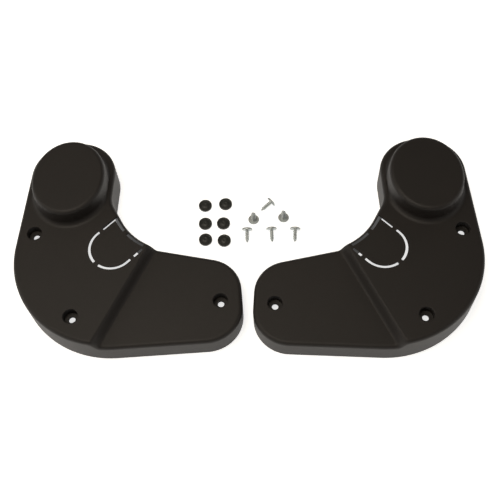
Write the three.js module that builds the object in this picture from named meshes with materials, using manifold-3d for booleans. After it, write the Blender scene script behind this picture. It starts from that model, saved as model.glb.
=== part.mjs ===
// A kit of two handed recliner-hinge covers for a seat's armrests, with their screws and screw caps.
// Millimetres, +Z up. The kit lies on the plane z = 0, and its origin is the bottom centre of its box.
import * as THREE from "three";
import { mergeVertices } from "three/addons/utils/BufferGeometryUtils.js";
import Module from "manifold-3d";

const wasm = await Module();
wasm.setup();

const rad = THREE.MathUtils.degToRad;

// ---- Cover: driving sizes ----
const wall = 2.6; // every wall of the moulding
const footHeight = 26; // top of the low foot
const bodyHeight = 35.5; // top of the body beside it
const bossHeight = 55; // top of the raised oval over the hinge
const edgeRound = 4; // round along the top edges
const footSetIn = 0.03; // the foot's walls stand this far inside the body's
const footLength = 125; // end of the foot to where the big sweep starts
const bodyWidth = 225; // end of the foot to the outermost point of the sweep
const lobeTop = 238.8; // the long bottom side to the corner at the top of the outer side
const lobeShoulder = 9.7; // the inner top corner lies this much lower

// The outline in plan, as straight sides with their corners rounded: x, y, radius, turning left.
// Its origin is where the long bottom side would meet the foot's end.
const sideLean = 7.9; // degrees, the outer side off the y axis
const sweepRadius = bodyWidth - footLength;
const sweepCentre = [-footLength, sweepRadius];
const outerCornerX = -footLength - sweepRadius * Math.tan(rad(45 + sideLean / 2));
const outerSide = (y) => outerCornerX + y * Math.tan(rad(sideLean));
const sweepEnd = sweepRadius * (1 + Math.sin(rad(sideLean))); // where the sweep runs into the outer side
const outerEdge = (y) =>
  y > sweepEnd ? outerSide(y) : sweepCentre[0] - Math.sqrt(sweepRadius ** 2 - (y - sweepCentre[1]) ** 2);
const outline = [
  [0, 0, 36.5],
  [-0.5, 82.2, 34.5],
  [-89.5, 105.4, 2],
  [-108.8, 116.9, 65],
  [-128.4, 158.5, 28],
  [-120.6, lobeTop - lobeShoulder, 39],
  [outerSide(lobeTop), lobeTop, 41],
  [outerCornerX, 0, sweepRadius],
];

// The slope between foot and body: a point on its low edge, its heading and its width in plan.
const slopeFoot = [-91.5, 90.4];
const slopeHeading = 61;
const slopeWidth = 5;

// The oval over the hinge.
const bossWide = 38.3; // half widths
const bossLong = 45;
const bossFromSide = 7.3; // its side to the outer side
const bossFromTop = 14.3; // its end to the top of the lobe
const bossY = lobeTop - bossFromTop - bossLong;
const bossCentre = [outerSide(bossY) + bossFromSide + bossWide, bossY];
const bossLean = -8; // degrees, its long axis off the y axis
const bossDraft = 1;
const bossFoot = 5.5; // fillet where it rises from the body, narrower where the roof's flat ends sooner
const bossRound = 4.5;

// Screw cups: place, top surface and the headings of their ribs.
const outerCup = { y: 126.6, fromSide: 17.2 };
const lowerCup = { heading: 239, fromSweep: 21.4 };
const footCup = { y: 43, fromEnd: 21.4 };
const lowerCupReach = sweepRadius - lowerCup.fromSweep;
const lowerCupAt = [
  sweepCentre[0] + lowerCupReach * Math.cos(rad(lowerCup.heading)),
  sweepCentre[1] + lowerCupReach * Math.sin(rad(lowerCup.heading)),
];
const cups = [
  { at: [outerEdge(outerCup.y) + outerCup.fromSide, outerCup.y], top: bodyHeight, ribs: [180, 270, 0] },
  { at: lowerCupAt, top: bodyHeight, ribs: [lowerCup.heading, lowerCup.heading + 80, 0] },
  { at: [-footCup.fromEnd, footCup.y], top: footHeight, ribs: [0, 270, 180] },
];
const cupRadius = 7.2;
const cupDepth = 9;
const cupLip = 0.8; // chamfer round the mouth
const cupFloor = 2.6;
const screwHole = 3.25;
const ribThick = 2;
const ribReach = 24; // from the cup's axis
const ribFoot = 1; // ribs stop this far above the mounting plane

// Break-out tab: slots all round a U whose open side lies along the hollow side of the outline.
const tabCentre = [-126.4, 103.8];
const tabRadius = 22.7;
const tabHeading = 41.4; // from the closed end towards the hollow side
const slotWidth = 2.6;
const slotClear = 0.3; // from the side wall to the slot that follows the hollow side
const slotInset = wall + slotClear + slotWidth / 2; // from the outer face to that slot's middle
const slotStub = 3; // a short slot between the half circle and a side's bridge
const bridge = 4.5; // what is left between two slots
const backBridge = 184; // degrees, heading of the closed end's bridge off the tab's
const hollowBridge = 0.42; // where the hollow side's bridge lies, as a share of that side
const hollowCorner = 3; // the corner of the outline whose round the tab meets

// ---- Loose pieces ----
const capSlack = 0.3; // a cap goes into its cup with this gap all round
const capRadius = cupRadius - capSlack;
const capHeight = 3.4;
const capWall = 1.3;
const capRim = { wide: 1.4, round: 0.5, drop: 0.7 };
const capGroove = { wide: 1.4, deep: 0.4 };
const capDimple = { radius: 1.1, deep: 0.4 };
const screwHead = { radius: 5.7, height: 2.9, edge: 0.8 };
const screwThread = { radius: 2.4, root: 1.75, pitch: 1.8, length: 13.6, tip: 3.4, point: 0.25 };
const recess = { wide: 5.4, slot: 1.1, depth: 1.9 };

// ---- Kit layout: the covers lie as mirror images, each turned a little ----
const toeIn = 3.2;
const coverGap = 5.3; // between the two outline origins
const coverStagger = 3.75; // the left cover lies this much further back
const coverY = -111.7;
const capPlaces = [
  [-45.5, 53.5], [-24, 55], [-45, 31.5], [-26, 31.5], [-44.5, 12.5], [-25, 11],
];
// x, y, heading of the tip in plan; a screw with no heading stands on its head
const screwPlaces = [
  { x: 24.2, y: 53.8, heading: 216 },
  { x: 5.8, y: 35 },
  { x: 37.2, y: 36.6 },
  { x: -0.9, y: 20.8, heading: 269 },
  { x: 24.4, y: 21, heading: 272 },
  { x: 49, y: 20.5, heading: 267 },
];

const black = new THREE.MeshStandardMaterial({ color: 0x26231f, roughness: 0.55, metalness: 0 });
const rubber = new THREE.MeshStandardMaterial({ color: 0x1c1c1b, roughness: 0.6, metalness: 0 });
const zinc = new THREE.MeshStandardMaterial({ color: 0xc9cbcc, roughness: 0.35, metalness: 1 });

// ---- Solids ----
function solid(geometry) {
  const bare = new THREE.BufferGeometry();
  bare.setAttribute("position", geometry.getAttribute("position"));
  if (geometry.index) bare.setIndex(geometry.index);
  const merged = mergeVertices(bare, 1e-4);
  return new wasm.Manifold(
    new wasm.Mesh({
      numProp: 3,
      vertProperties: merged.getAttribute("position").array,
      triVerts: new Uint32Array(merged.index.array),
    }),
  );
}

function meshOf(made, material, name) {
  const { vertProperties, triVerts } = made.getMesh();
  const geometry = new THREE.BufferGeometry();
  geometry.setAttribute("position", new THREE.BufferAttribute(vertProperties, 3));
  geometry.setIndex(new THREE.BufferAttribute(triVerts, 1));
  geometry.computeVertexNormals();
  const mesh = new THREE.Mesh(geometry, material);
  mesh.name = name;
  return mesh;
}

// A closed skin over rings of equal length, from the lowest to the highest.
function loft(levels) {
  const n = levels[0].ring.length;
  const position = levels.flatMap(({ z, ring }) => ring.flatMap((p) => [p.x, p.y, z]));
  const index = [];
  for (let k = 0; k + 1 < levels.length; k++) {
    for (let i = 0; i < n; i++) {
      const a = k * n + i;
      const b = k * n + ((i + 1) % n);
      index.push(a, b, b + n, a, b + n, a + n);
    }
  }
  const bottom = THREE.ShapeUtils.triangulateShape(levels[0].ring, []);
  const top = THREE.ShapeUtils.triangulateShape(levels.at(-1).ring, []);
  const last = (levels.length - 1) * n;
  bottom.forEach(([a, b, c]) => index.push(c, b, a));
  top.forEach(([a, b, c]) => index.push(last + a, last + b, last + c));
  const geometry = new THREE.BufferGeometry();
  geometry.setAttribute("position", new THREE.Float32BufferAttribute(position, 3));
  geometry.setIndex(index);
  return solid(geometry);
}

// A round column with its own list of [radius, z], lowest first, closed on the axis.
function column(x, y, profile, sides = 28) {
  const points = profile.map(([r, z]) => new THREE.Vector2(r, z));
  const onAxis = (k) => new THREE.Vector2(0, profile.at(k)[1]);
  const closed = [onAxis(0), ...points, onAxis(-1)];
  const geometry = new THREE.LatheGeometry(closed, sides);
  geometry.rotateX(Math.PI / 2);
  geometry.translate(x, y, 0);
  return solid(geometry);
}

// An upright slab: a rectangle in plan from one point along a heading, between two heights.
function slab([x, y], heading, from, to, width, low, high) {
  const geometry = new THREE.BoxGeometry(to - from, width, high - low);
  geometry.translate((from + to) / 2, 0, (low + high) / 2);
  geometry.rotateZ(rad(heading));
  geometry.translate(x, y, 0);
  return solid(geometry);
}

const join = (list) => list.reduce((a, b) => a.add(b));

// ---- Outlines ----
// Straight sides moved inwards by inset, and the round of one corner between them.
function cornerRound(i, inset) {
  const n = outline.length;
  const side = (k) => {
    const [x, y] = outline[k % n];
    const [x2, y2] = outline[(k + 1) % n];
    const along = new THREE.Vector2(x2 - x, y2 - y).normalize();
    return { along, start: new THREE.Vector2(x - along.y * inset, y + along.x * inset) };
  };
  const before = side(i + n - 1);
  const after = side(i);
  const turn = before.along.cross(after.along);
  const hand = Math.sign(turn);
  const gap = after.start.clone().sub(before.start);
  const corner = before.start.clone().addScaledVector(before.along, gap.cross(after.along) / turn);
  const swing = Math.atan2(turn, before.along.dot(after.along));
  const radius = Math.max(outline[i][2] - hand * inset, 0.5);
  const first = corner.addScaledVector(before.along, -radius * Math.tan(Math.abs(swing) / 2));
  const inward = new THREE.Vector2(-before.along.y, before.along.x).multiplyScalar(hand);
  return { first, swing, radius, centre: first.clone().addScaledVector(inward, radius) };
}

function outlineRing(inset, step = 7) {
  return outline.flatMap((_, i) => {
    const { first, swing, centre } = cornerRound(i, inset);
    const count = Math.max(2, Math.ceil(Math.abs(swing) / rad(step)));
    return Array.from({ length: count + 1 }, (_, k) =>
      first.clone().rotateAround(centre, (swing * k) / count),
    );
  });
}

function ovalRing(inset, sides = 44) {
  return Array.from({ length: sides }, (_, k) => {
    const t = (2 * Math.PI * k) / sides;
    const p = new THREE.Vector2((bossWide - inset) * Math.cos(t), (bossLong - inset) * Math.sin(t));
    return p.rotateAround(new THREE.Vector2(), rad(bossLean)).add(new THREE.Vector2(...bossCentre));
  });
}

// The oval moved outwards by a share of its fillet, which stays on the flat of the roof.
function filletRing(share) {
  const flat = outlineRing(edgeRound);
  const side = new THREE.Line3();
  const nearest = new THREE.Vector3();
  const room = (p) =>
    Math.min(...flat.map((a, i) => {
      const b = flat[(i + 1) % flat.length];
      side.set(new THREE.Vector3(a.x, a.y), new THREE.Vector3(b.x, b.y));
      return side.closestPointToPoint(p, true, nearest).distanceTo(p);
    }));
  const outer = ovalRing(-1);
  return ovalRing(0).map((p, i) => {
    const reach = Math.min(bossFoot, room(new THREE.Vector3(p.x, p.y)));
    return p.clone().addScaledVector(outer[i].sub(p).normalize(), reach * share);
  });
}

// Levels of a quarter round at the top of a wall.
function roundedTop(ring, top, radius, inset, steps = 3) {
  return Array.from({ length: steps + 1 }, (_, k) => {
    const t = (Math.PI / 2) * (k / steps);
    return { z: top - radius + radius * Math.sin(t), ring: ring(inset + radius * (1 - Math.cos(t))) };
  });
}

// Everything on the foot side of the slope, for cutting the body's block away.
function beyondSlope(inset) {
  const fall = (bodyHeight - footHeight) / slopeWidth;
  const shift = inset * Math.hypot(1, 1 / fall);
  const reachDown = (footHeight + 5) / fall;
  const reachUp = slopeWidth + 5 / fall;
  const profile = new THREE.Shape([
    new THREE.Vector2(reachDown - shift, -5),
    new THREE.Vector2(300, -5),
    new THREE.Vector2(300, bodyHeight + 5),
    new THREE.Vector2(-reachUp - shift, bodyHeight + 5),
  ]);
  const geometry = new THREE.ExtrudeGeometry(profile, { depth: 500, bevelEnabled: false });
  geometry.translate(0, 0, -250);
  geometry.rotateX(Math.PI / 2);
  geometry.rotateZ(rad(slopeHeading - 90));
  geometry.translate(...slopeFoot, 0);
  return solid(geometry);
}

// ---- Cover ----
function coverShell() {
  const block = (top, inset) =>
    loft([{ z: 0, ring: outlineRing(inset) }, ...roundedTop(outlineRing, top, edgeRound, inset)]);
  const hollow = (top, inset, below) => {
    const ring = outlineRing(inset + wall);
    return loft([{ z: -below, ring }, { z: top - wall, ring }]);
  };

  const fillet = [0, 1, 2, 3].map((k) => {
    const t = (Math.PI / 2) * (k / 3);
    return { z: bodyHeight + bossFoot * (1 - Math.cos(t)), ring: filletRing(1 - Math.sin(t)) };
  });
  const boss = loft([
    { z: bodyHeight - wall / 2, ring: filletRing(1) },
    ...fillet,
    ...roundedTop(ovalRing, bossHeight, bossRound, bossDraft),
  ]);
  const bossHollow = loft([
    { z: -3, ring: ovalRing(wall) },
    { z: bodyHeight, ring: ovalRing(wall) },
    { z: bossHeight - wall, ring: ovalRing(wall + bossDraft) },
  ]);

  const body = block(bodyHeight, 0).subtract(beyondSlope(0));
  const bodyHollow = hollow(bodyHeight, 0, 1).subtract(beyondSlope(wall));
  const outside = body.add(block(footHeight, footSetIn)).add(boss);
  const inside = bodyHollow.add(hollow(footHeight, footSetIn, 2)).add(bossHollow);
  return { outside, shell: outside.subtract(inside) };
}

function cupSolids(outside) {
  const under = ({ top }) => top - cupDepth - cupFloor;
  const bodies = cups.flatMap((cup) => [
    column(...cup.at, [[cupRadius + wall, under(cup)], [cupRadius + wall, cup.top - wall / 2]]),
    ...cup.ribs.map((heading) =>
      slab(cup.at, heading, screwHole + 2.5, ribReach, ribThick, ribFoot, cup.top - wall / 2),
    ),
  ]);
  const pockets = cups.flatMap(({ at, top }) => [
    column(...at, [
      [cupRadius, top - cupDepth],
      [cupRadius, top - cupLip],
      [cupRadius + cupLip, top],
      [cupRadius + cupLip, top + 1],
    ]),
    column(...at, [[screwHole, -1], [screwHole, top - cupDepth / 2]], 20),
  ]);
  return { bodies: join(bodies).intersect(outside), pockets: join(pockets) };
}

// The tab's slots: a half circle, two straight sides, and the side that follows the outline.
function tabSlots() {
  const low = footHeight - wall - 2;
  const high = bodyHeight + 2;
  const middle = new THREE.Vector2(...tabCentre);
  const heading = new THREE.Vector2(1, 0).rotateAround(new THREE.Vector2(), rad(tabHeading));
  const sideStart = (side) =>
    middle.clone().add(new THREE.Vector2(-heading.y, heading.x).multiplyScalar(side * tabRadius));
  const hollow = cornerRound(hollowCorner, slotInset);
  // distance along a straight side to the slot that follows the outline
  const reach = (side) => {
    const away = sideStart(side).sub(hollow.centre);
    const along = away.dot(heading);
    return -along - Math.sqrt(along * along - away.lengthSq() + hollow.radius ** 2);
  };
  const headingFrom = (side) => {
    const corner = sideStart(side).addScaledVector(heading, reach(side));
    return THREE.MathUtils.radToDeg(corner.sub(hollow.centre).angle());
  };
  const arc = ({ x, y }, radius, from, to) => {
    const shape = new THREE.Shape();
    shape.absarc(x, y, radius + slotWidth / 2, rad(from), rad(to), false);
    shape.absarc(x, y, radius - slotWidth / 2, rad(to), rad(from), true);
    shape.closePath();
    const depth = high - low;
    const geometry = new THREE.ExtrudeGeometry(shape, { depth, bevelEnabled: false, curveSegments: 10 });
    geometry.translate(0, 0, low);
    return solid(geometry);
  };
  const straight = (side, from, to) =>
    slab(sideStart(side).toArray(), tabHeading, from, to, slotWidth, low, high);
  const turnOf = (length, radius) => THREE.MathUtils.radToDeg(length / radius);
  const halfBridge = turnOf(bridge / 2, tabRadius);
  const back = tabHeading + backBridge;
  const first = headingFrom(1);
  const last = headingFrom(-1);
  const parting = first + (last - first) * hollowBridge;
  const split = turnOf(bridge / 2, hollow.radius);
  const lap = slotWidth / 10; // slots in line run this far into each other
  return join([
    straight(1, slotStub + bridge, reach(1) + slotWidth / 3),
    straight(1, -lap, slotStub),
    arc(middle, tabRadius, tabHeading + 90, back - halfBridge),
    arc(middle, tabRadius, back + halfBridge, tabHeading + 270),
    straight(-1, -lap, bridge),
    straight(-1, 2 * bridge, reach(-1) - bridge),
    arc(hollow.centre, hollow.radius, first - turnOf(slotWidth / 2, hollow.radius), parting - split),
    arc(hollow.centre, hollow.radius, parting + split, last - split),
  ]);
}

function cover() {
  const { outside, shell } = coverShell();
  const { bodies, pockets } = cupSolids(outside);
  return shell.add(bodies).subtract(pockets).subtract(tabSlots());
}

// ---- Screw cap: a cup with a rounded rim, a groove and a domed, dimpled middle ----
function cap() {
  const r = capRadius;
  const rim = capHeight - capRim.drop;
  const profile = [
    [r - capWall, 0],
    [r, 0],
    [r, rim - 2 * capRim.round],
    [r - capRim.round, rim - capRim.round / 2],
    [r - capRim.wide, rim],
    [r - capRim.wide - capGroove.wide / 2, rim - capGroove.deep],
    [r - capRim.wide - capGroove.wide, rim],
    [(r + capDimple.radius) / 3, capHeight],
    [capDimple.radius, capHeight],
    [0, capHeight - capDimple.deep],
    [0, capHeight - capDimple.deep - capWall],
    [r - capWall, rim - capGroove.deep - capWall],
    [r - capWall, 0],
  ].map(([x, y]) => new THREE.Vector2(x, y));
  const geometry = new THREE.LatheGeometry(profile, 18);
  geometry.rotateX(Math.PI / 2);
  return solid(geometry);
}

// ---- Screw: domed head with a cross recess, rings for the thread, a tapered point ----
function screw() {
  const { radius, root, pitch, length, tip, point } = screwThread;
  const dome = Array.from({ length: 4 }, (_, k) => {
    const t = rad(18 + 24 * k);
    return [screwHead.radius * Math.cos(t), -screwHead.height * Math.sin(t)];
  }).reverse();
  const crests = Math.floor((length - tip) / pitch);
  const thread = Array.from({ length: crests }, (_, k) => [
    [root, pitch * (k + 0.35)],
    [radius, pitch * (k + 0.8)],
  ]).flat();
  const end = [
    [root, length - tip],
    [radius * 0.72, length - tip * 0.7],
    [root * 0.55, length - tip * 0.5],
    [point, length],
  ];
  const edge = [
    [screwHead.radius, -screwHead.edge],
    [screwHead.radius, 0],
  ];
  const profile = [...dome, ...edge, [root, 0], ...thread, ...end];
  const blank = column(0, 0, profile, 12);
  const cross = join([0, 90].map((turn) => {
    const deep = -screwHead.height + recess.depth;
    return slab([0, 0], turn, -recess.wide / 2, recess.wide / 2, recess.slot, -screwHead.height - 1, deep);
  }));
  return blank.subtract(cross);
}

// ---- Assembly ----
const kit = new THREE.Group();

const coverSolid = cover();
[["left_cover", 1], ["right_cover", -1]].forEach(([name, hand]) => {
  const mesh = meshOf(coverSolid, black, name);
  mesh.rotation.z = rad(toeIn);
  const side = new THREE.Group();
  side.scale.x = hand;
  mesh.position.set(-coverGap / 2, coverY + (hand * coverStagger) / 2, 0);
  side.add(mesh);
  kit.add(side);
});

const capSolid = cap();
capPlaces.forEach(([x, y], i) => {
  const mesh = meshOf(capSolid, rubber, `cap_${i + 1}`);
  mesh.position.set(x, y, 0);
  kit.add(mesh);
});

const screwSolid = screw();
const lyingTilt = Math.atan2(screwHead.radius - screwThread.radius, screwThread.length - screwThread.tip);
screwPlaces.forEach(({ x, y, heading }, i) => {
  const mesh = meshOf(screwSolid, zinc, `screw_${i + 1}`);
  mesh.position.set(x, y, screwHead.height);
  if (heading !== undefined) {
    mesh.rotation.order = "ZYX";
    mesh.rotation.set(0, Math.PI / 2 + lyingTilt, rad(heading));
  }
  mesh.updateMatrix();
  const low = new THREE.Box3().setFromObject(mesh, true).min.z;
  mesh.position.z -= low;
  kit.add(mesh);
});

const box = new THREE.Box3().setFromObject(kit, true);
const middle = box.getCenter(new THREE.Vector3());
kit.position.set(-middle.x, -middle.y, -box.min.z);

const root = new THREE.Group();
root.add(kit);
export default root;
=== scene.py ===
import bmesh
import bpy
import math
from mathutils import Matrix, Vector
from mathutils.geometry import delaunay_2d_cdt


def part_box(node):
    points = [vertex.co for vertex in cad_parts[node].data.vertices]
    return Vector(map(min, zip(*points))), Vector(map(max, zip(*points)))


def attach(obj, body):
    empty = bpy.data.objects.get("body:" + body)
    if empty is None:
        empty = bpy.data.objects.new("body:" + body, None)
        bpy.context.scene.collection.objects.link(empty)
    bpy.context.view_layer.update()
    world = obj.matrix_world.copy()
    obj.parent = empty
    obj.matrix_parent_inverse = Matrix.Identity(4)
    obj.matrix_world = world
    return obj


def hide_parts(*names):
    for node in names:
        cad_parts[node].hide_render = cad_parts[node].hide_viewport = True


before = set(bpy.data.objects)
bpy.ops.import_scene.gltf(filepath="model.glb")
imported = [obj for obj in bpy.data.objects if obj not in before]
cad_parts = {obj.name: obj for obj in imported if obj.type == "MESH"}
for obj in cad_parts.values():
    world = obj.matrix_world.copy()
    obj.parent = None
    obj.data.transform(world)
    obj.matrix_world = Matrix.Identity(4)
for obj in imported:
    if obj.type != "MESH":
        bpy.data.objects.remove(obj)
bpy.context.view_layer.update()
mm = 0.001


# Sizes are in millimetres until a mesh is made.
def linearColour(hexCode):
    parts = [int(hexCode[i:i + 2], 16) / 255 for i in (1, 3, 5)]
    return [c / 12.92 if c <= 0.04045 else ((c + 0.055) / 1.055) ** 2.4 for c in parts] + [1]


def turned(x, y, degrees):
    a = math.radians(degrees)
    return Vector((x * math.cos(a) - y * math.sin(a), x * math.sin(a) + y * math.cos(a)))


def smoothStep(t):
    t = max(0, min(1, t))
    return t * t * (3 - 2 * t)


def quarter(steps):
    return [math.pi / 2 * k / steps for k in range(steps + 1)]


def meshFrom(name, points, faces):
    mesh = bpy.data.meshes.new(name)
    mesh.from_pydata([Vector(p) * mm for p in points], [], faces)
    mesh.validate()
    return mesh


# Rings of equal length joined by four-sided faces, closed by one face at each end.
def lofted(rings, closeStart=True, closeEnd=True):
    n = len(rings[0])
    points = [p for ring in rings for p in ring]
    faces = []
    for k in range(len(rings) - 1):
        for i in range(n):
            j = (i + 1) % n
            faces.append((k * n + i, k * n + j, (k + 1) * n + j, (k + 1) * n + i))
    if closeStart:
        faces.append(tuple(reversed(range(n))))
    if closeEnd:
        faces.append(tuple(range(len(points) - n, len(points))))
    return points, faces


def joined(solids):
    points, faces = [], []
    for somePoints, someFaces in solids:
        shift = len(points)
        points += somePoints
        faces += [tuple(i + shift for i in face) for face in someFaces]
    return points, faces


# A profile of (radius, z), lowest first, turned about an upright axis.
def revolved(profile, x=0, y=0, sides=64):
    ring = [turned(1, 0, 360 * k / sides) for k in range(sides)]
    return lofted([[(x + r * d.x, y + r * d.y, z) for d in ring] for r, z in profile])


def carved(mesh, cutter, how):
    base = bpy.data.objects.new("base", mesh)
    tool = bpy.data.objects.new("tool", cutter)
    for o in (base, tool):
        bpy.context.scene.collection.objects.link(o)
    step = base.modifiers.new("cut", "BOOLEAN")
    step.object, step.operation, step.solver = tool, how, "MANIFOLD"
    bpy.context.view_layer.update()
    made = bpy.data.meshes.new_from_object(base.evaluated_get(bpy.context.evaluated_depsgraph_get()))
    bpy.data.objects.remove(base)
    bpy.data.objects.remove(tool)
    return made


def boxOf(mesh):
    return [Vector(f(v.co[i] for v in mesh.vertices) for i in range(3)) for f in (min, max)]


def shaded(mesh, sharpAngle):
    for face in mesh.polygons:
        face.use_smooth = True
    mesh.set_sharp_from_angle(angle=math.radians(sharpAngle))


def placed(name, mesh, node, material):
    piece = bpy.data.objects.new(name, mesh)
    bpy.context.scene.collection.objects.link(piece)
    mesh.materials.clear()
    mesh.materials.append(material)
    weighted = piece.modifiers.new("evenNormals", "WEIGHTED_NORMAL")
    weighted.keep_sharp = True
    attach(piece, node)
    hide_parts(node)
    return piece


# Camera and soft lights.
cameraSetup = {
    "aim": (1.733, 2.874, 0),  # millimetres
    "distance": 879.75,
    "elevation": 62.3,
    "turn": 3.2,
    "roll": -3.9,
    "lens": 61.2,
}


def makeCamera(setup):
    data = bpy.data.cameras.new("camera")
    data.lens, data.sensor_width = setup["lens"], 36
    data.clip_start, data.clip_end = 0.05, 20
    camera = bpy.data.objects.new("camera", data)
    bpy.context.scene.collection.objects.link(camera)
    facing = (
        Matrix.Rotation(math.radians(setup["turn"]), 4, "Z")
        @ Matrix.Rotation(math.radians(90 - setup["elevation"]), 4, "X")
        @ Matrix.Rotation(math.radians(setup["roll"]), 4, "Z")
    )
    back = facing @ Vector((0, 0, setup["distance"] * mm))
    camera.matrix_world = Matrix.Translation(Vector(setup["aim"]) * mm + back) @ facing
    bpy.context.scene.camera = camera


def addNode(tree, kind, settings=None, links=None, **properties):
    node = tree.nodes.new(kind)
    for name, value in properties.items():
        setattr(node, name, value)
    for socket, value in (settings or {}).items():
        node.inputs[socket].default_value = value
    for socket, source in (links or {}).items():
        tree.links.new(source, node.inputs[socket])
    return node


makeCamera(cameraSetup)

lightSetup = {
    "softboxes": [  # name, place, aimed at, size in metres, watts, colour
        ("topBox", (-0.3, -0.1, 1.6), (0, 0, 0), (1.2, 0.8), 12, "#fff4e4"),
        ("leftBox", (-1.5, -0.1, 0.8), (-0.05, 0, 0), (0.9, 0.9), 5, "#fff6ea"),
        ("rightBox", (1.5, -0.2, 0.9), (0.1, 0, 0), (0.7, 0.7), 2.5, "#fffaf4"),
    ],
    "skyLow": "#9c9b99",  # a pale wall round the table, dark above
    "skyHigh": "#4c4a46",
    "skyRamp": (0.3, 0.65),
}


def makeLights(setup):
    for name, place, aim, size, watts, colour in setup["softboxes"]:
        data = bpy.data.lights.new(name, "AREA")
        data.shape, data.size, data.size_y = "RECTANGLE", size[0], size[1]
        data.energy, data.color = watts, linearColour(colour)[:3]
        lamp = bpy.data.objects.new(name, data)
        bpy.context.scene.collection.objects.link(lamp)
        lamp.location = place
        lamp.rotation_euler = (Vector(aim) - Vector(place)).to_track_quat("-Z", "Y").to_euler()
    world = bpy.data.worlds.new("studio")
    world.use_nodes = True
    tree = world.node_tree
    tree.nodes.clear()
    where = addNode(tree, "ShaderNodeTexCoord")
    split = addNode(tree, "ShaderNodeSeparateXYZ", links={0: where.outputs["Generated"]})
    ramp = addNode(tree, "ShaderNodeValToRGB", links={0: split.outputs["Z"]})
    low, high = ramp.color_ramp.elements
    low.position, high.position = setup["skyRamp"]
    low.color, high.color = linearColour(setup["skyLow"]), linearColour(setup["skyHigh"])
    sky = addNode(tree, "ShaderNodeBackground", {"Strength": 1}, {"Color": ramp.outputs["Color"]})
    addNode(tree, "ShaderNodeOutputWorld", links={"Surface": sky.outputs["Background"]})
    bpy.context.scene.world = world
    bpy.context.scene.view_settings.view_transform = "Standard"


makeLights(lightSetup)
print("camera and lights placed")

# Finishes, with the size of each pattern in millimetres.
polypropylene = {
    "dark": "#171310",
    "pale": "#1f1a16",
    "flowMark": 60,  # mm, faint clouds where the melt cooled unevenly
    "grain": 0.9,  # mm, spark-eroded grain is nearer 0.2, drawn coarser so that it shows
    "grainDepth": 0.03,  # mm
    "roughness": (0.5, 0.62),
    "ior": 1.44,
}
polyethylene = {
    "dark": "#181917",
    "pale": "#262722",
    "flowMark": 9,
    "grain": 0.5,
    "grainDepth": 0.012,
    "roughness": (0.42, 0.55),
    "ior": 1.51,
}
zincPlate = {
    "dark": "#b0b5b5",
    "pale": "#cdd2d1",
    "cloud": 2.5,
    "streak": 0.6,  # mm, drawing lines left along the wire
    "streakDepth": 0.01,
    "roughness": (0.36, 0.54),
}


# Moulded plastic: an even near-black with a soft sheen that breaks up in its fine grain.
def mouldedPlastic(name, finish):
    material = bpy.data.materials.new(name)
    material.use_nodes = True
    tree = material.node_tree
    tree.nodes.clear()
    where = addNode(tree, "ShaderNodeTexCoord").outputs["Object"]
    clouds = addNode(tree, "ShaderNodeTexNoise",
                     {"Scale": 1000 / finish["flowMark"], "Detail": 3, "Roughness": 0.55}, {"Vector": where})
    colour = addNode(tree, "ShaderNodeMix",
                     links={0: clouds.outputs["Fac"]}, data_type="RGBA")
    colour.inputs[6].default_value = linearColour(finish["dark"])
    colour.inputs[7].default_value = linearColour(finish["pale"])
    pits = addNode(tree, "ShaderNodeTexVoronoi",
                   {"Scale": 1000 / finish["grain"]}, {"Vector": where}, feature="SMOOTH_F1")
    dust = addNode(tree, "ShaderNodeTexNoise",
                   {"Scale": 400 / finish["grain"], "Detail": 4, "Roughness": 0.6}, {"Vector": where})
    both = addNode(tree, "ShaderNodeMix", {0: 0.45},
                   {2: pits.outputs["Distance"], 3: dust.outputs["Fac"]}, data_type="FLOAT")
    low, high = finish["roughness"]
    sheen = addNode(tree, "ShaderNodeMapRange",
                    {"To Min": low, "To Max": high}, {"Value": dust.outputs["Fac"]})
    bump = addNode(tree, "ShaderNodeBump", {"Strength": 1, "Distance": finish["grainDepth"] * mm},
                   {"Height": both.outputs[0]})
    surface = addNode(tree, "ShaderNodeBsdfPrincipled", {"IOR": finish["ior"]}, {
        "Base Color": colour.outputs[2], "Roughness": sheen.outputs[0], "Normal": bump.outputs[0]})
    addNode(tree, "ShaderNodeOutputMaterial", links={"Surface": surface.outputs[0]})
    return material


# Bright zinc plate on cold-headed steel: pale silver, a little cloudy, with fine lines.
def zincPlatedSteel(name, finish):
    material = bpy.data.materials.new(name)
    material.use_nodes = True
    tree = material.node_tree
    tree.nodes.clear()
    where = addNode(tree, "ShaderNodeTexCoord").outputs["Object"]
    clouds = addNode(tree, "ShaderNodeTexNoise",
                     {"Scale": 1000 / finish["cloud"], "Detail": 3}, {"Vector": where})
    lines = addNode(tree, "ShaderNodeTexNoise",
                    {"Scale": 1000 / finish["streak"], "Detail": 2}, {"Vector": where})
    colour = addNode(tree, "ShaderNodeMix", links={0: clouds.outputs["Fac"]}, data_type="RGBA")
    colour.inputs[6].default_value = linearColour(finish["dark"])
    colour.inputs[7].default_value = linearColour(finish["pale"])
    low, high = finish["roughness"]
    sheen = addNode(tree, "ShaderNodeMapRange",
                    {"To Min": low, "To Max": high}, {"Value": lines.outputs["Fac"]})
    bump = addNode(tree, "ShaderNodeBump",
                   {"Strength": 1, "Distance": finish["streakDepth"] * mm}, {"Height": lines.outputs["Fac"]})
    surface = addNode(tree, "ShaderNodeBsdfPrincipled", {"Metallic": 1}, {
        "Base Color": colour.outputs[2], "Roughness": sheen.outputs[0], "Normal": bump.outputs[0]})
    addNode(tree, "ShaderNodeOutputMaterial", links={"Surface": surface.outputs[0]})
    return material


coverPlastic = mouldedPlastic("mouldedPolypropylene", polypropylene)
capPlastic = mouldedPlastic("mouldedPolyethylene", polyethylene)
screwSteel = zincPlatedSteel("zincPlatedSteel", zincPlate)
print("materials made")

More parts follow.
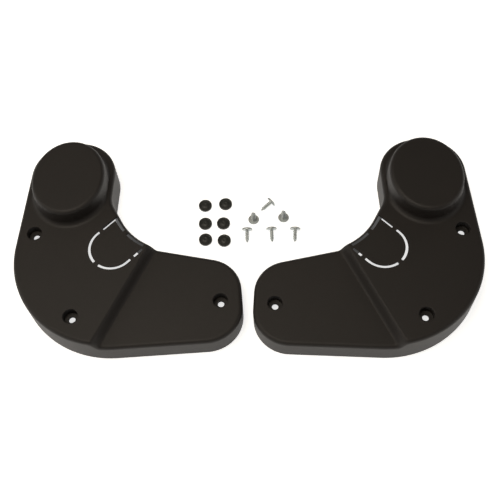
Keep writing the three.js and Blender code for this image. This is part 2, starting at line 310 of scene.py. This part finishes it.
coverShape = {
    "wall": 2.6,
    "footHeight": 26,
    "bodyHeight": 35.5,
    "edgeRound": 4,
    "rimRound": 0.5,  # along the open edge
    "footLength": 125,
    "bodyWidth": 225,
    "lobeTop": 238.8,
    "lobeShoulder": 9.7,
    "sideLean": 7.9,
    "slopeFoot": (-91.5, 90.4),
    "slopeHeading": 61,
    "slopeWidth": 5,
    "slopeSoft": 1.8,
    "toeIn": 3.2,
    "step": 2.4,  # between points along the edge, closer where the slope crosses it
}
bossShape = {
    "wide": 38.3,  # half widths
    "long": 45,
    "height": 55,
    "fromSide": 7.3,
    "fromTop": 14.3,
    "lean": -8,
    "draft": 1,
    "foot": 5.5,
    "round": 4.5,
    "sides": 120,
}
cupShape = {
    "outerY": 126.6,  # the outer cup, and its distance from the outer side
    "outerFromSide": 17.2,
    "lowerHeading": 239,  # the lower cup, from the sweep's centre
    "lowerFromSweep": 21.4,
    "lowerRibTurn": 80,
    "foot": (-21.4, 43),
    "radius": 7.2,
    "depth": 9,
    "lip": 0.8,
    "floor": 2.6,
    "hole": 3.25,
    "floorRound": 0.6,
    "under": 1.3,  # cups and ribs end this far inside the roof
    "ribThick": 2,
    "ribReach": 24,
    "ribFoot": 1,
}
tabShape = {
    "centre": (-126.4, 103.8),
    "radius": 22.7,
    "heading": 41.4,
    "slot": 2.6,
    "clear": 0.3,
    "stub": 3,
    "bridge": 4.5,
    "backBridge": 184,
    "hollowBridge": 0.42,
    "flare": 0.1,  # the slots widen this much at the surface
    "lip": 1.2,  # the edge left above a slot's undercut
    "undercut": 1.5,
    "corner": 3,
}


def coverOutline(c):
    sweep = c["bodyWidth"] - c["footLength"]
    lean = math.radians(c["sideLean"])
    cornerX = -c["footLength"] - sweep * math.tan(math.radians(45) + lean / 2)
    top = c["lobeTop"]
    return [
        (0, 0, 36.5),
        (-0.5, 82.2, 34.5),
        (-89.5, 105.4, 2),
        (-108.8, 116.9, 65),
        (-128.4, 158.5, 28),
        (-120.6, top - c["lobeShoulder"], 39),
        (cornerX + math.tan(lean) * top, top, 41),
        (cornerX, 0, sweep),
    ]


outline = coverOutline(coverShape)


# The round between the straight sides before and after one corner, moved inwards by inset.
def cornerRound(i, inset):
    def side(k):
        a, b = Vector(outline[k % len(outline)][:2]), Vector(outline[(k + 1) % len(outline)][:2])
        along = (b - a).normalized()
        return along, a + Vector((-along.y, along.x)) * inset

    (before, start), (after, nextStart) = side(i - 1), side(i)
    turn = before.cross(after)
    hand = math.copysign(1, turn)
    corner = start + before * ((nextStart - start).cross(after) / turn)
    swing = math.atan2(turn, before.dot(after))
    radius = max(outline[i][2] - hand * inset, 0.5)
    first = corner - before * radius * math.tan(abs(swing) / 2)
    centre = first + Vector((-before.y, before.x)) * hand * radius
    return first, swing, centre, radius


def slopeDistance(p):
    a = math.radians(coverShape["slopeHeading"])
    fx, fy = coverShape["slopeFoot"]
    return -(p[0] - fx) * math.sin(a) + (p[1] - fy) * math.cos(a)


def roofHeight(p):
    c = coverShape
    share = (slopeDistance(p) + c["slopeSoft"]) / (c["slopeWidth"] + 2 * c["slopeSoft"])
    return c["footHeight"] + (c["bodyHeight"] - c["footHeight"]) * smoothStep(share)


# How far along each round and each straight side the points of every ring lie.
def ringShares():
    near = lambda p: -4 < slopeDistance(p) < coverShape["slopeWidth"] + 4
    shares = []
    for i in range(len(outline)):
        first, swing, centre, radius = cornerRound(i, 0)
        last = centre + turned(*(first - centre), math.degrees(swing))
        following = cornerRound((i + 1) % len(outline), 0)[0]
        halfway = centre + turned(*(first - centre), math.degrees(swing / 2))
        step = coverShape["step"] / (3 if near(halfway) else 1)
        count = max(3, math.ceil(abs(swing) * radius / step), math.ceil(abs(swing) / math.radians(4)))
        straight = []
        pieces = max(1, math.ceil((following - last).length / coverShape["step"]))
        for k in range(pieces):
            fine = 3 if near(last.lerp(following, (k + 0.5) / pieces)) else 1
            straight += [(k + m / fine) / pieces for m in range(fine)]
        shares.append((count, straight[1:]))
    return shares


edgeShares = ringShares()


def outlineRing(inset):
    ring = []
    for i, (count, straight) in enumerate(edgeShares):
        first, swing, centre, _ = cornerRound(i, inset)
        arm, sweep = first - centre, math.degrees(swing)
        ring += [centre + turned(*arm, sweep * k / count) for k in range(count + 1)]
        following = cornerRound((i + 1) % len(outline), inset)[0]
        last = ring[-1]
        ring += [last.lerp(following, t) for t in straight]
    return ring


def bossCentre():
    c, b = coverShape, bossShape
    y = c["lobeTop"] - b["fromTop"] - b["long"]
    side = outline[7][0] + y * math.tan(math.radians(c["sideLean"]))
    return Vector((side + b["fromSide"] + b["wide"], y))


def bossRing(inset):
    b = bossShape
    ring = []
    for k in range(b["sides"]):
        t = 2 * math.pi * k / b["sides"]
        across, along = (b["wide"] - inset) * math.cos(t), (b["long"] - inset) * math.sin(t)
        ring.append(bossCentre() + turned(across, along, b["lean"]))
    return ring


def nearestOn(ring, p):
    best = 1e9
    for a, b in zip(ring, ring[1:] + ring[:1]):
        side = b - a
        t = max(0, min(1, (p - a).dot(side) / max(side.length_squared, 1e-9)))
        best = min(best, (p - a - side * t).length)
    return best


# The boss ring moved outwards by a share of its fillet, which stays on the flat of the roof.
def filletRing(share, foot, inset, edge):
    flat = outlineRing(edge + 0.2)
    land = 0.3
    ring = []
    for p, o in zip(bossRing(inset), bossRing(inset - 1)):
        outwards = (o - p).normalized()
        room = nearestOn(flat, p) * (1 if insideRing(flat, p) else -1)
        if room < land:
            p, room = p - outwards * (land - room) * 1.1, land
        ring.append(p + outwards * min(foot, room) * share)
    return ring


# The roof between the edge's last ring and the boss, with lines along the slope.
def roofMesh(edge, hole, drop):
    points = list(edge) + list(hole)
    n, m = len(edge), len(hole)
    lines = [(i, (i + 1) % n) for i in range(n)] + [(n + i, n + (i + 1) % m) for i in range(m)]
    c = coverShape
    along = turned(1, 0, c["slopeHeading"])
    across = Vector((-along.y, along.x))
    reach = c["slopeWidth"] + 2 * c["slopeSoft"]
    for k in range(15):
        start = Vector(c["slopeFoot"]) + across * (reach * k / 14 - c["slopeSoft"])
        run = []
        for s in range(-150, 80):
            p = start + along * s
            if insideRing(edge, p) and nearestOn(edge, p) > 0.7:
                run.append(p)
        run = run[::3] + ([run[-1]] if len(run) % 3 != 1 else [])
        lines += [(len(points) + i, len(points) + i + 1) for i in range(len(run) - 1)]
        points += run
    made, _, triangles, source, _, _ = delaunay_2d_cdt([Vector(p) for p in points], lines, [], 1, 1e-5)
    order = {new: old[0] for new, old in enumerate(source) if old}
    for new, p in enumerate(made):
        if new not in order:
            order[new] = len(points)
            points.append(p)
    middle = lambda t: sum((made[i] for i in t), Vector((0, 0))) / 3
    kept = [t for t in triangles if insideRing(edge, middle(t)) and not insideRing(hole, middle(t))]
    flat = [(p.x, p.y, roofHeight(p) - drop) for p in points]
    return flat, [tuple(order[i] for i in t) for t in kept]


def insideRing(ring, p):
    odd = False
    for a, b in zip(ring, ring[1:] + ring[:1]):
        if (a.y > p.y) != (b.y > p.y) and p.x < a.x + (p.y - a.y) * (b.x - a.x) / (b.y - a.y):
            odd = not odd
    return odd


# One closed skin of the moulding: its outside at inset 0, its hollow at the wall's thickness.
def coverSkin(name, inset, low, edgeRound, rimRound, bossFoot, bossRound):
    b = bossShape
    levels = []
    for t in quarter(3) if rimRound else [math.pi / 2]:
        ring = outlineRing(inset + rimRound * (1 - math.sin(t)))
        levels.append([(p.x, p.y, low + rimRound * (1 - math.cos(t))) for p in ring])
    for t in quarter(9):
        ring = outlineRing(inset + edgeRound * (1 - math.cos(t)))
        levels.append([(p.x, p.y, roofHeight(p) - inset - edgeRound * (1 - math.sin(t))) for p in ring])
    flatFrom = inset + edgeRound + 0.4
    edge = outlineRing(flatFrom)
    levels.append([(p.x, p.y, roofHeight(p) - inset) for p in edge])
    sidePoints, sideFaces = lofted(levels, closeEnd=False)

    roofZ, topZ = coverShape["bodyHeight"] - inset, b["height"] - inset
    hole = filletRing(1, bossFoot, inset, flatFrom)
    bossLevels = []
    for t in quarter(9):
        ring = filletRing(1 - math.sin(t), bossFoot, inset, flatFrom)
        bossLevels.append([(p.x, p.y, roofZ + bossFoot * (1 - math.cos(t))) for p in ring])
    for t in quarter(9):
        ring = bossRing(inset + b["draft"] + bossRound * (1 - math.cos(t)))
        bossLevels.append([(p.x, p.y, topZ - bossRound * (1 - math.sin(t))) for p in ring])
    bossLevels.append([(p.x, p.y, topZ) for p in bossRing(inset + b["draft"] + bossRound + 0.8)])
    bossPoints, bossFaces = lofted(bossLevels, closeStart=False)

    roofPoints, roofFaces = roofMesh(edge, hole, inset)
    points, faces = joined([(sidePoints, sideFaces), (roofPoints, roofFaces), (bossPoints, bossFaces)])
    mesh = meshFrom(name, points, faces)
    return welded(mesh)


def welded(mesh):
    work = bmesh.new()
    work.from_mesh(mesh)
    bmesh.ops.remove_doubles(work, verts=work.verts, dist=2e-6)
    bmesh.ops.recalc_face_normals(work, faces=work.faces)
    work.to_mesh(mesh)
    work.free()
    return mesh


# Each cup's place, the roof above it and the headings of its ribs.
def cupPlaces():
    c, s = coverShape, cupShape
    sweep = c["bodyWidth"] - c["footLength"]
    outerX = outline[7][0] + s["outerY"] * math.tan(math.radians(c["sideLean"]))
    heading = s["lowerHeading"]
    lower = Vector((-c["footLength"], sweep)) + turned(sweep - s["lowerFromSweep"], 0, heading)
    return [
        ((outerX + s["outerFromSide"], s["outerY"]), c["bodyHeight"], (180, 270, 0)),
        (tuple(lower), c["bodyHeight"], (heading, heading + s["lowerRibTurn"], 0)),
        (s["foot"], c["footHeight"], (0, 270, 180)),
    ]


def cupWalls():
    s = cupShape
    solids = []
    for (x, y), top, _ in cupPlaces():
        low = top - s["depth"] - s["floor"]
        outside = s["radius"] + coverShape["wall"]
        profile = [(outside - 0.5, low), (outside, low + 0.5), (outside, top - s["under"])]
        solids.append(revolved(profile, x, y))
    return solids


def ribWalls():
    s = cupShape
    solids = []
    for (x, y), top, ribs in cupPlaces():
        for heading in ribs:
            rings = []
            foot, full, near, far = s["ribFoot"], s["ribThick"], s["hole"] + 2.5, s["ribReach"]
            for z, thick in ((foot, full - 0.4), (foot + 0.3, full), (top - s["under"], full)):
                corners = [(near, -thick / 2), (far, -thick / 2), (far, thick / 2), (near, thick / 2)]
                rings.append([(*(Vector((x, y)) + turned(a, b, heading)), z) for a, b in corners])
            solids.append(lofted(rings))
    return solids


def cupPockets():
    s = cupShape
    solids = []
    for (x, y), top, _ in cupPlaces():
        floor = top - s["depth"]
        profile = [(s["hole"], floor - s["floor"] - 2), (s["hole"], floor - 0.3), (s["hole"] + 0.3, floor)]
        r, low, lip = s["radius"], s["floorRound"], s["lip"]
        profile += [(r - low * (1 - math.sin(t)), floor + low * (1 - math.cos(t))) for t in quarter(3)]
        profile += [(r + lip * (1 - math.cos(t)), top - lip * (1 - math.sin(t))) for t in quarter(5)]
        profile += [(s["radius"] + s["lip"], top + 2)]
        solids.append(revolved(profile, x, y))
    return solids


# A slot's cutter along a line of points: undercut below its lip, and flared a little at the surface.
def slotCutter(path, undercut):
    half, flare, lip = tabShape["slot"] / 2, tabShape["flare"], tabShape["lip"]
    normals = []
    for k, p in enumerate(path):
        before = (p - path[k - 1]).normalized() if k else None
        after = (path[k + 1] - p).normalized() if k + 1 < len(path) else None
        mean = ((before or after) + (after or before)).normalized()
        stretch = 1 / max(0.3, mean.dot(after or before))
        normals.append(Vector((-mean.y, mean.x)) * stretch)
    rings = []
    low = coverShape["footHeight"] - coverShape["wall"] - 2
    steps = [(None, undercut), (-1.3 * lip, undercut), (-lip, 0), (-flare, 0), (0.05, flare), (3, flare)]
    for rise, more in steps:
        ring = [p - n * (half + more) for p, n in zip(path, normals)]
        ring += [p + n * (half + more) for p, n in reversed(list(zip(path, normals)))]
        centres = list(path) + list(reversed(path))
        heights = [low if rise is None else roofHeight(c) + rise for c in centres]
        rings.append([(q.x, q.y, z) for q, z in zip(ring, heights)])
    return lofted(rings)


def tabSlots():
    t = tabShape
    middle = Vector(t["centre"])
    heading = turned(1, 0, t["heading"])
    inset = coverShape["wall"] + t["clear"] + t["slot"] / 2
    _, _, hollowCentre, hollowRadius = cornerRound(t["corner"], inset)
    sideStart = lambda side: middle + Vector((-heading.y, heading.x)) * side * t["radius"]

    def reach(side):
        away = sideStart(side) - hollowCentre
        along = away.dot(heading)
        return -along - math.sqrt(along * along - away.length_squared + hollowRadius ** 2)

    def onHollow(degrees):
        return hollowCentre + turned(hollowRadius, 0, degrees)

    def angleOf(p):
        d = p - hollowCentre
        return math.degrees(math.atan2(d.y, d.x)) % 360

    def arc(place, start, end):
        count = max(2, math.ceil(abs(end - start) / 3))
        return [place(start + (end - start) * k / count) for k in range(count + 1)]

    onTab = lambda degrees: middle + turned(t["radius"], 0, degrees)
    straight = lambda side, run: sideStart(side) + heading * run
    halfBridge = math.degrees(t["bridge"] / 2 / t["radius"])
    back = t["heading"] + t["backBridge"]
    first, last = angleOf(straight(1, reach(1))), angleOf(straight(-1, reach(-1)))
    parting = first + (last - first) * t["hollowBridge"]
    split = math.degrees(t["bridge"] / 2 / hollowRadius)
    paths = [
        [straight(1, t["stub"])] + arc(onTab, t["heading"] + 90, back - halfBridge),
        arc(onTab, back + halfBridge, t["heading"] + 270) + [straight(-1, t["bridge"])],
        [straight(-1, 2 * t["bridge"]), straight(-1, reach(-1) - t["bridge"])],
        [straight(1, t["stub"] + t["bridge"])] + arc(onHollow, first, parting - split),
        arc(onHollow, parting + split, last - split),
    ]
    undercuts = [t["undercut"]] * 3 + [0, 0]
    return [slotCutter(path, undercut) for path, undercut in zip(paths, undercuts)]


# Puts the mesh into its node's box, and takes up the fifth of a millimetre between them.
def fittedTo(mesh, node):
    lo, hi = (Vector(p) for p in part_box(node))
    mineLo, mineHi = boxOf(mesh)
    for v in mesh.vertices:
        v.co = Vector(
            lo[i] + (v.co[i] - mineLo[i]) * (hi[i] - lo[i]) / (mineHi[i] - mineLo[i]) for i in range(3))


def makeCovers():
    c, b = coverShape, bossShape
    wall = c["wall"]
    outside = coverSkin("outside", 0, 0, c["edgeRound"], c["rimRound"], b["foot"], b["round"])
    inside = coverSkin("inside", wall, -1, 1.6, 0, 1.5, 2)
    between = coverSkin("between", wall / 2, 0.2, 2.6, 0, 2.5, 3)
    print("cover skins made", len(outside.polygons), len(inside.polygons))
    shell = carved(outside, inside, "DIFFERENCE")
    walls = None
    for points, faces in cupWalls() + ribWalls():
        part = welded(meshFrom("wall", points, faces))
        walls = part if walls is None else carved(walls, part, "UNION")
    walls = carved(walls, between, "INTERSECT")
    shell = carved(shell, walls, "UNION")
    shell = carved(shell, welded(meshFrom("pockets", *joined(cupPockets()))), "DIFFERENCE")
    shell = carved(shell, welded(meshFrom("slots", *joined(tabSlots()))), "DIFFERENCE")
    shell = welded(shell)
    print("cover carved", len(shell.vertices), "points")
    for name, node, hand in (("leftCover", "left_cover", 1), ("rightCover", "right_cover", -1)):
        mesh = shell.copy()
        mesh.name = name
        mesh.transform(Matrix.Scale(hand, 4, (1, 0, 0)) @ Matrix.Rotation(math.radians(c["toeIn"]), 4, "Z"))
        if hand < 0:
            mesh.flip_normals()
        fittedTo(mesh, node)
        shaded(mesh, 38)
        placed(name, mesh, node, coverPlastic)


makeCovers()
print("covers made")

capShape = {
    "radius": 6.9,
    "height": 3.4,
    "wall": 1.3,
    "rim": 1.4,
    "rimRound": 0.6,
    "rimDrop": 0.7,
    "groove": 1.4,
    "grooveDepth": 0.45,
    "dimple": 1.1,
    "dimpleDepth": 0.45,
}


def capProfile(c):
    r, top, rim = c["radius"], c["height"], c["height"] - c["rimDrop"]
    profile = [(r - c["wall"], 0), (r - 0.2, 0), (r, 0.2)]
    edge = c["rimRound"]
    profile += [(r - edge * (1 - math.cos(t)), rim - edge * (1 - math.sin(t))) for t in quarter(5)]
    for k in range(7):  # the groove, a half wave down and up
        a = math.pi * k / 6
        profile.append((r - c["rim"] - c["groove"] * k / 6, rim - c["grooveDepth"] * math.sin(a)))
    inner = r - c["rim"] - c["groove"]
    for k in range(1, 7):  # the crown, rising to the dimple's edge
        u = k / 6
        height = rim + c["rimDrop"] * math.sin(math.pi / 2 * u)
        profile.append((inner + (c["dimple"] + 0.4 - inner) * u, height))
    for k in range(1, 6):
        u = k / 5
        profile.append(((c["dimple"] + 0.4) * (1 - u) + 0.02 * u, top - c["dimpleDepth"] * smoothStep(u)))
    return profile


def makeCaps(c):
    inside = c["height"] - c["rimDrop"] - c["grooveDepth"] - c["wall"]
    cup = welded(meshFrom("cap", *revolved([(0.02, 0)] + capProfile(c))))
    bore = c["radius"] - c["wall"]
    hollow = [(bore, -1), (bore, inside - 0.4), (bore - 0.4, inside)]
    cup = welded(carved(cup, welded(meshFrom("hollow", *revolved(hollow))), "DIFFERENCE"))
    for k in range(1, 7):
        lo, hi = (Vector(p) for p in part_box(f"cap_{k}"))
        mesh = cup.copy()
        mesh.name = f"cap{k}"
        mesh.transform(Matrix.Translation(((lo.x + hi.x) / 2, (lo.y + hi.y) / 2, lo.z)))
        shaded(mesh, 45)
        placed(f"cap{k}", mesh, f"cap_{k}", capPlastic)


makeCaps(capShape)
print("caps made")

screwShape = {
    "head": 5.7,
    "headHeight": 2.9,
    "headEdge": 0.8,
    "thread": 2.4,
    "root": 1.75,
    "pitch": 1.8,
    "length": 13.6,
    "tip": 3.4,
    "point": 0.12,
    "recess": 5.4,
    "recessSlot": 1.1,
    "recessDepth": 1.9,
    "sides": 40,
    "headings": {1: 216, 4: 269, 5: 272, 6: 267},  # of the tips; screws 2 and 3 stand on their heads
}


def screwShank(s):
    rings = []
    steps = math.ceil(s["length"] / (s["pitch"] / 12))
    for k in range(steps + 1):
        z = s["length"] * k / steps
        taper = 1 if z < s["length"] - s["tip"] else ((s["length"] - z) / s["tip"]) ** 0.75
        core = max(s["point"], s["root"] * taper)
        crest = max(s["point"], s["thread"] * min(1, taper * 1.06)) - core
        fade = smoothStep((z - 0.7) / 0.9) * smoothStep((s["length"] - z) / 0.6)
        ring = []
        for i in range(s["sides"]):
            turn = i / s["sides"]
            phase = (z / s["pitch"] - turn) % 1
            ridge = max(0, 1 - abs(phase - 0.5) / 0.28)
            p = turned(core + crest * fade * ridge, 0, 360 * turn)
            ring.append((p.x, p.y, z))
        rings.append(ring)
    return lofted(rings)


def makeScrews(s):
    edge, crown = s["headEdge"], s["headHeight"] - s["headEdge"]
    dome = [(s["head"] * math.cos(t), -edge - crown * math.sin(t)) for t in quarter(10)]
    profile = [(max(r, 0.02), z) for r, z in reversed(dome)]
    profile += [(s["head"], -0.25), (s["head"] - 0.25, 0), (s["root"] + 0.4, 0), (s["root"] - 0.1, 0.4)]
    head = welded(meshFrom("head", *revolved(profile)))
    deep, half = -s["headHeight"] + s["recessDepth"], s["recess"] / 2
    for turn in (0, 90):  # a cross that narrows towards its floor
        rings, slot = [], s["recessSlot"]
        mouth, floor = (-s["headHeight"] - 1, half + 0.3, slot * 0.62), (deep, half * 0.45, slot * 0.36)
        for z, long, wide in (mouth, floor):
            corners = [(-long, -wide), (long, -wide), (long, wide), (-long, wide)]
            rings.append([(*turned(a, b, turn), z) for a, b in corners])
        head = carved(head, welded(meshFrom("cross", *lofted(rings))), "DIFFERENCE")
    screw = welded(carved(head, welded(meshFrom("shank", *screwShank(s))), "UNION"))
    tilt = math.atan2(s["head"] - s["thread"], s["length"] - s["tip"])
    for k in range(1, 7):
        mesh = screw.copy()
        mesh.name = f"screw{k}"
        if k in s["headings"]:
            mesh.transform(Matrix.Rotation(math.radians(s["headings"][k]), 4, "Z")
                           @ Matrix.Rotation(math.pi / 2 + tilt, 4, "Y"))
        lo, hi = (Vector(p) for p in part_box(f"screw_{k}"))
        mineLo, mineHi = boxOf(mesh)
        shift = (lo + hi) / 2 - (mineLo + mineHi) / 2
        mesh.transform(Matrix.Translation((shift.x, shift.y, lo.z - mineLo.z)))
        shaded(mesh, 35)
        placed(f"screw{k}", mesh, f"screw_{k}", screwSteel)


makeScrews(screwShape)
print("screws made")

# Size in metres, thickness and drop in millimetres.
floorSetup = {"size": 6, "thick": 20, "drop": 0.2, "colour": "#f4f3f0", "glow": 0.74}


# A matt white table that glows a little, as a lit table under small goods does.
def makeFloor(f):
    half = f["size"] * 1000 / 2
    corners = ((-half, -half), (half, -half), (half, half), (-half, half))
    levels = (-f["drop"] - f["thick"], -f["drop"])
    points, faces = lofted([[(x, y, z) for x, y in corners] for z in levels])
    floor = bpy.data.objects.new("floor", meshFrom("floor", points, faces))
    bpy.context.scene.collection.objects.link(floor)
    material = bpy.data.materials.new("mattWhiteTable")
    material.use_nodes = True
    tree = material.node_tree
    tree.nodes.clear()
    surface = addNode(tree, "ShaderNodeBsdfPrincipled", {
        "Base Color": linearColour(f["colour"]), "Roughness": 0.9,
        "Emission Color": linearColour("#ffffff"), "Emission Strength": f["glow"]})
    addNode(tree, "ShaderNodeOutputMaterial", links={"Surface": surface.outputs[0]})
    floor.data.materials.append(material)


makeFloor(floorSetup)
print("floor made")
